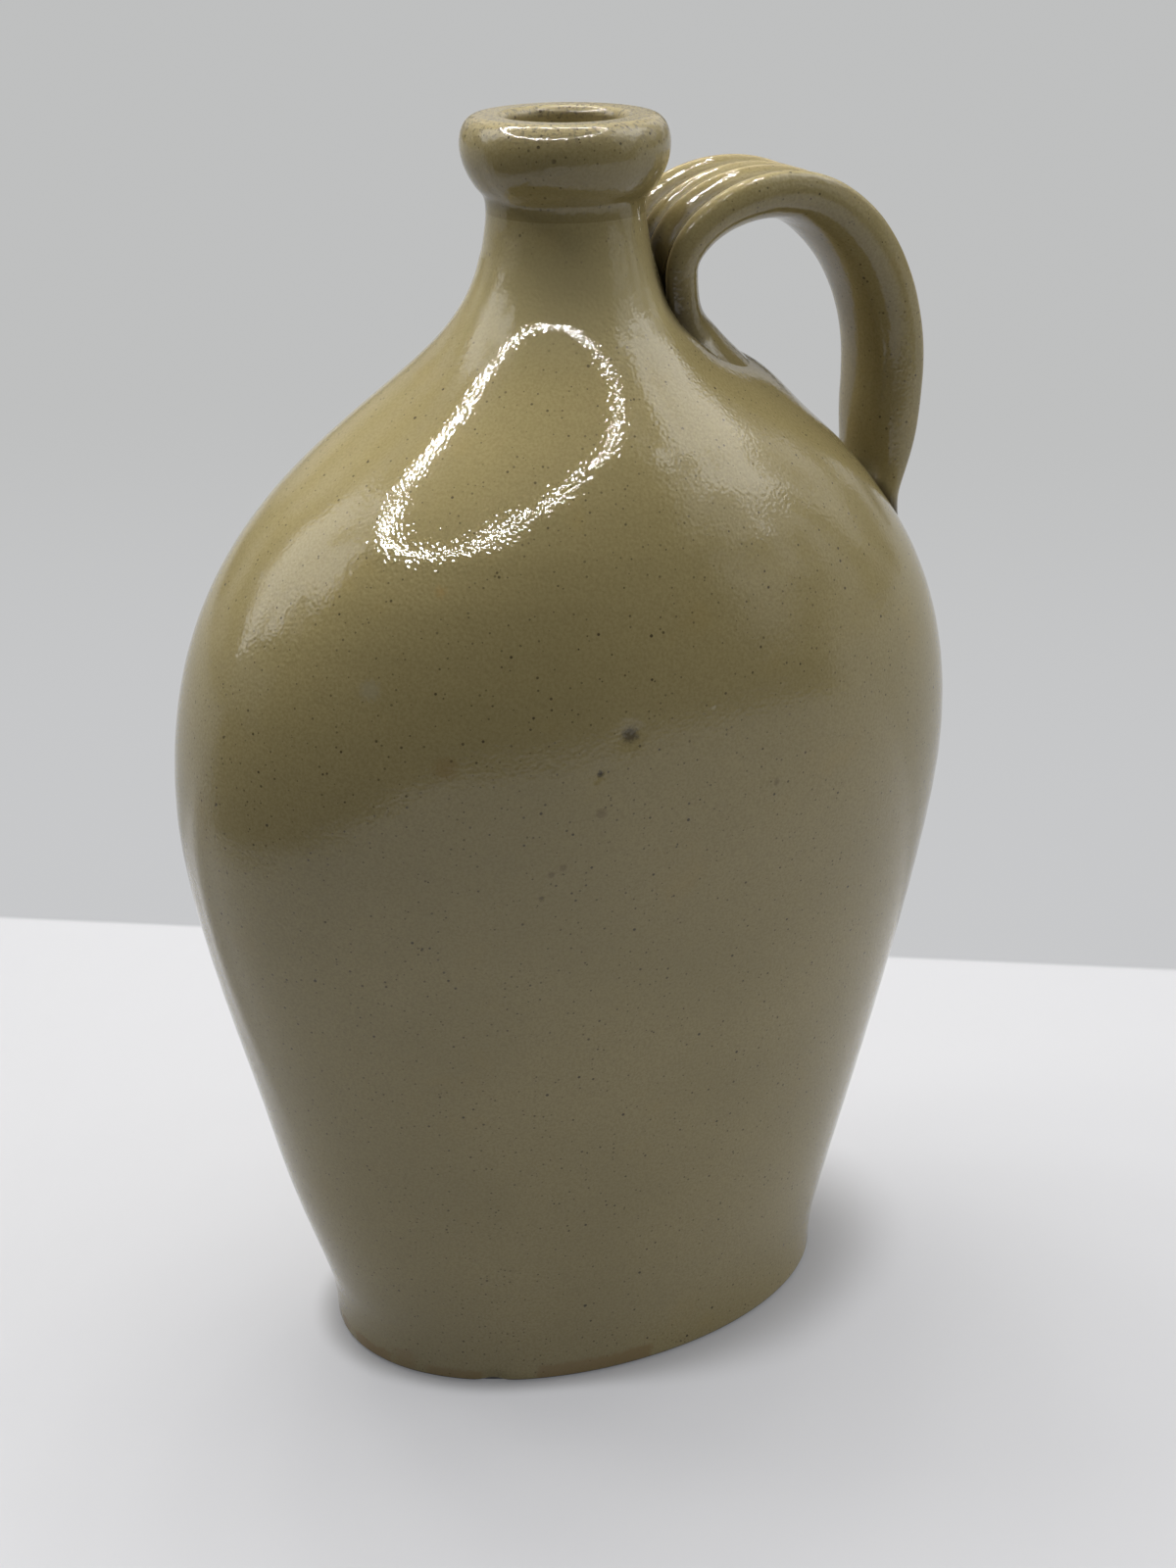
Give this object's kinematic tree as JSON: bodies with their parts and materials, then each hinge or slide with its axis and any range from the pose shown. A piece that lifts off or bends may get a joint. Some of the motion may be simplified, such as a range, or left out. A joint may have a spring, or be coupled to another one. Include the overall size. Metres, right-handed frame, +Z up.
{
  "type": "stoneware handled flask",
  "caption": "Glazed stoneware flask with an oval flat-sided body, sloping shoulder, round neck, thick rolled lip and a reeded strap handle, for storing and pouring liquids",
  "frame": {"origin": "middle of the flat underside", "axes": "+Z runs up the neck and out of the mouth, X lies along the wide side of the body with the handle on +X, and -Y is the broad front face"},
  "size_m": [0.186, 0.1216, 0.2905],
  "materials": {
    "bare_clay": "fired clay under a thin glaze on the edge, worn bare underneath",
    "body_glaze": "glossy olive-ochre glaze with fine dark iron specks",
    "neck_glaze": "glossy olive-ochre glaze with fine dark iron specks",
    "lip_glaze": "glossy olive-ochre glaze, speckled grey on the top ring",
    "handle_glaze": "glossy olive-ochre glaze, thinner and lighter on the crests"
  },
  "bodies": {
    "root": {"base_slab": "bare_clay", "body_wall": "body_glaze", "neck": "neck_glaze", "lip_ring": "lip_glaze", "handle": "handle_glaze"}
  },
  "joints": []
}
